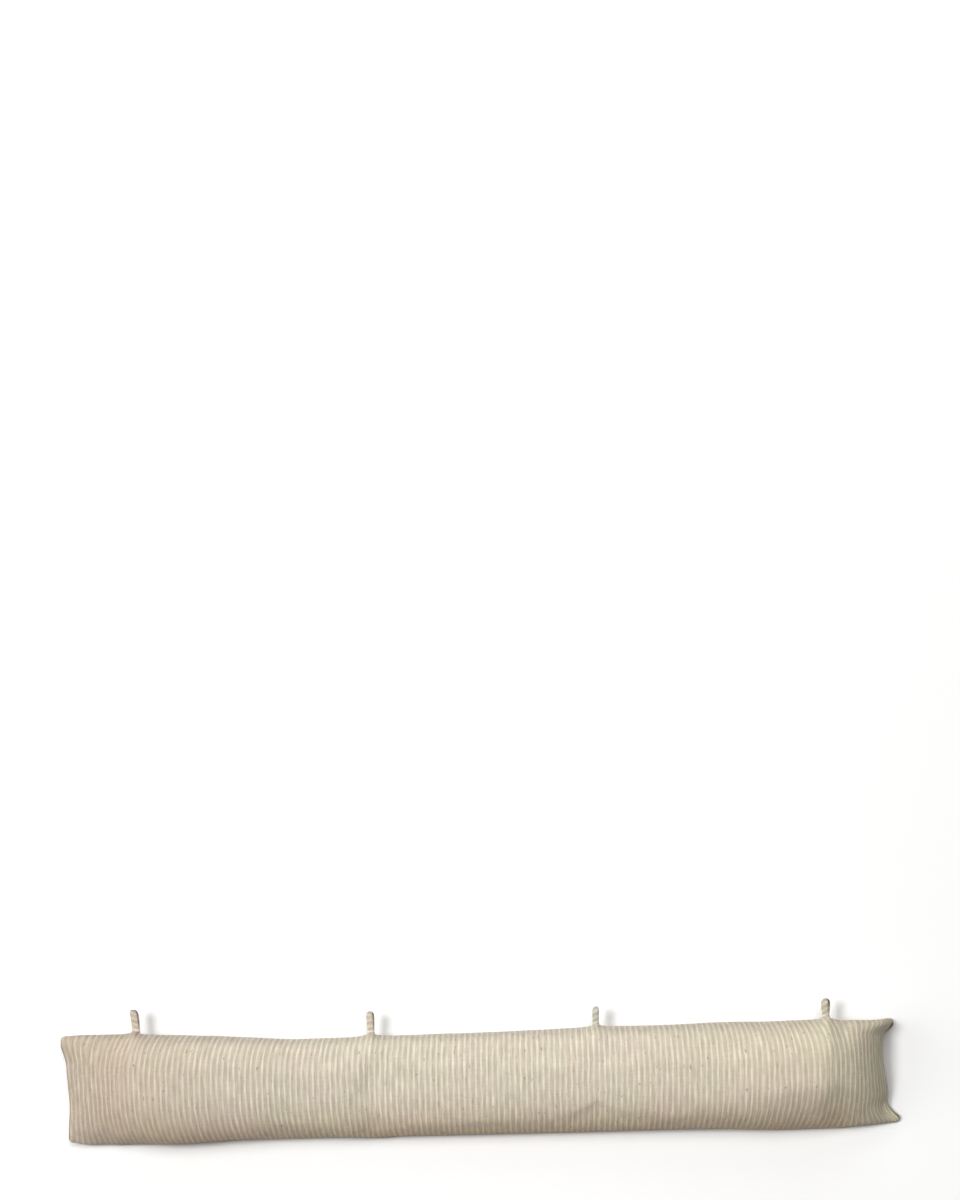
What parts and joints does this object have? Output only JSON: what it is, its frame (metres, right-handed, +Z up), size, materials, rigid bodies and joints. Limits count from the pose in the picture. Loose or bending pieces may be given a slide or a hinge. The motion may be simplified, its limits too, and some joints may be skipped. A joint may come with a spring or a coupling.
{
  "type": "draught excluder",
  "caption": "Long filled cushion of striped cloth that seals the gap under a door, with short folded-tape hanging loops along its seam.",
  "frame": {"origin": "middle of the flat patch on the underside that it rests on", "axes": "+X along the length, +Y towards the seam that holds the hanging loops, +Z up, out of the face"},
  "size_m": [0.8987, 0.1462, 0.0843],
  "materials": {
    "striped_cloth": "matt woven linen-like cloth, beige with thin cream stripes and darker slubs",
    "loop_cloth": "the same striped cloth, folded to a narrow tape with the stripes across it"
  },
  "bodies": {
    "root": {"filled_body": "striped_cloth", "loop_1": "loop_cloth", "loop_2": "loop_cloth", "loop_3": "loop_cloth", "loop_4": "loop_cloth"}
  },
  "joints": []
}
